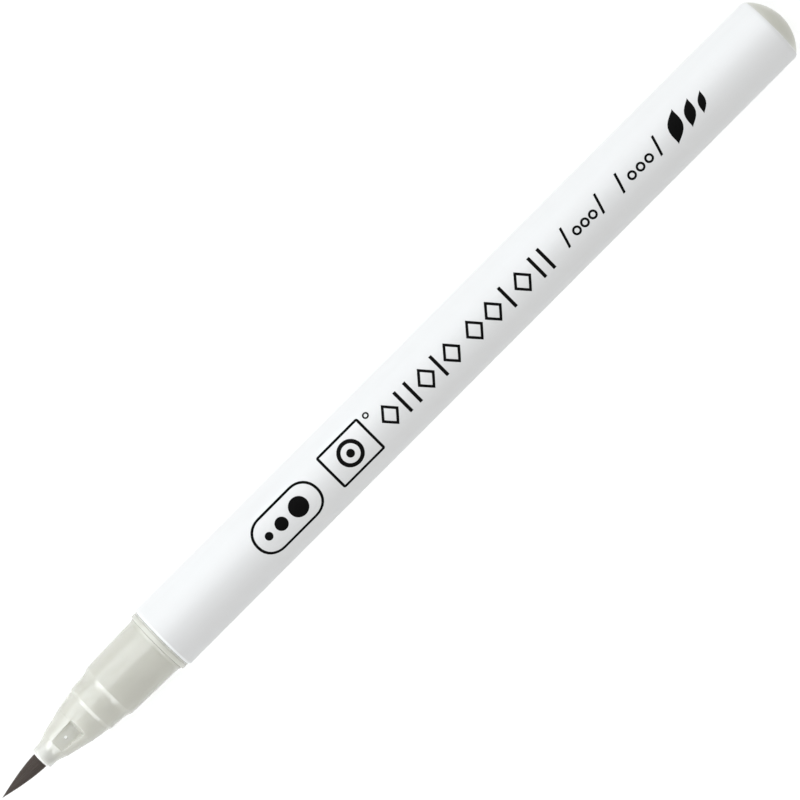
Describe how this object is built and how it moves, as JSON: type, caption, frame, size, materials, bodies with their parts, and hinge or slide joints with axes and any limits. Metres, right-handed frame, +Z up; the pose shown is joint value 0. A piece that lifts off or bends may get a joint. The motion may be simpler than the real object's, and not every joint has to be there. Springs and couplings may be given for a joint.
{
  "type": "calligraphy marker",
  "caption": "Slim round brush marker, uncapped: bristle tuft in a stepped tinted front section, smooth tubular barrel with an ink reservoir, and a domed end plug.",
  "frame": {"origin": "under the middle of the pen's length, on the surface that the barrel rests on", "axes": "+X along the pen from the brush tip to the end plug, +Z up from the resting surface, +Y across; the printed side faces +Z"},
  "size_m": [0.138, 0.0096, 0.0096],
  "materials": {
    "barrel_white": "satin",
    "print_ink": "satin",
    "section_tint": "gloss",
    "plug_tint": "satin",
    "holder_white": "satin",
    "bristle_brown": "satin",
    "feed_fibre": "matte",
    "reservoir_fibre": "matte",
    "reservoir_film": "gloss"
  },
  "bodies": {
    "barrel_body": {"barrel": "barrel_white", "reservoir_fibre": "reservoir_fibre", "reservoir_film": "reservoir_film"},
    "section_body": {"front_section": "section_tint", "tuft_holder": "holder_white", "tuft_root": "bristle_brown", "feed_rod": "feed_fibre", "feed_bush": "holder_white"},
    "tuft_lower": {"bristles_lower": "bristle_brown"},
    "tuft_tip": {"bristles_tip": "bristle_brown"},
    "plug_body": {"end_plug": "plug_tint"}
  },
  "joints": [
    {"name": "section_pull", "type": "slide", "parent": "barrel_body", "child": "section_body", "axis": [-1, 0, 0], "range_m": [0, 0.03]},
    {"name": "tuft_sway", "type": "hinge", "parent": "section_body", "child": "tuft_lower", "pos_m": [-0.06345, 0, 0.0048], "axis": [0, 0, 1], "range_deg": [-30, 30], "stiffness_Nm_per_rad": 0.001},
    {"name": "tuft_bend", "type": "hinge", "parent": "tuft_lower", "child": "tuft_tip", "pos_m": [-0.06545, 0, 0.0048], "axis": [0, 1, 0], "range_deg": [-40, 40], "stiffness_Nm_per_rad": 0.0006},
    {"name": "plug_pull", "type": "slide", "parent": "barrel_body", "child": "plug_body", "axis": [1, 0, 0], "range_m": [0, 0.012]}
  ]
}
